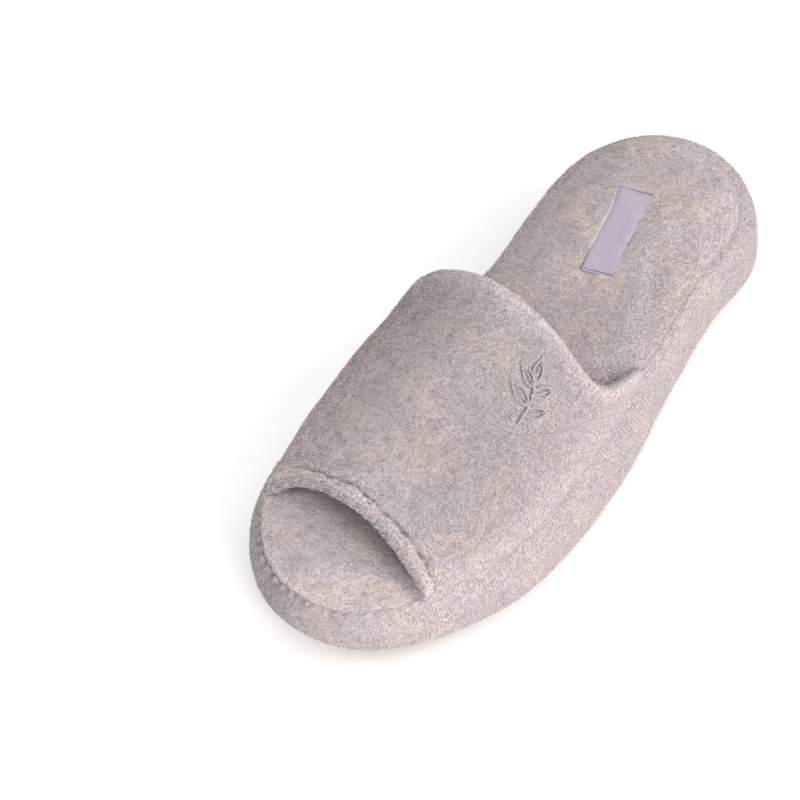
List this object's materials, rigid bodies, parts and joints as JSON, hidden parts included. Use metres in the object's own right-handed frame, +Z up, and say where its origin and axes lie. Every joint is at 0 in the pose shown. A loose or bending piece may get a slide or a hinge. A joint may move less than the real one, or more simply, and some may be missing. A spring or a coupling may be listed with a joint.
{
  "type": "scuff slipper",
  "caption": "Open-toe, open-back house slipper: padded terry vamp over a cushioned footbed on a wrapped wedge platform with a thin rubber outsole.",
  "frame": {"origin": "on the floor under the middle of the slipper's outline", "axes": "+Z up, -Y towards the toe, +X towards the outer side of the left foot"},
  "size_m": [0.107, 0.255, 0.0822],
  "materials": {
    "rubber": "matt tan rubber with shallow arrow-shaped grooves",
    "terry": "heather grey-beige plush terry, stretched round the platform's side",
    "footbed_terry": "heather grey-beige plush terry over a padded footbed",
    "vamp_terry": "heather grey-beige plush terry with a soft brushed nap",
    "label": "pale lilac satin weave, blank"
  },
  "bodies": {
    "root": {"outsole": "rubber", "wrapped_platform": "terry", "insole": "footbed_terry", "upper": "vamp_terry", "heel_label": "label"}
  },
  "joints": []
}
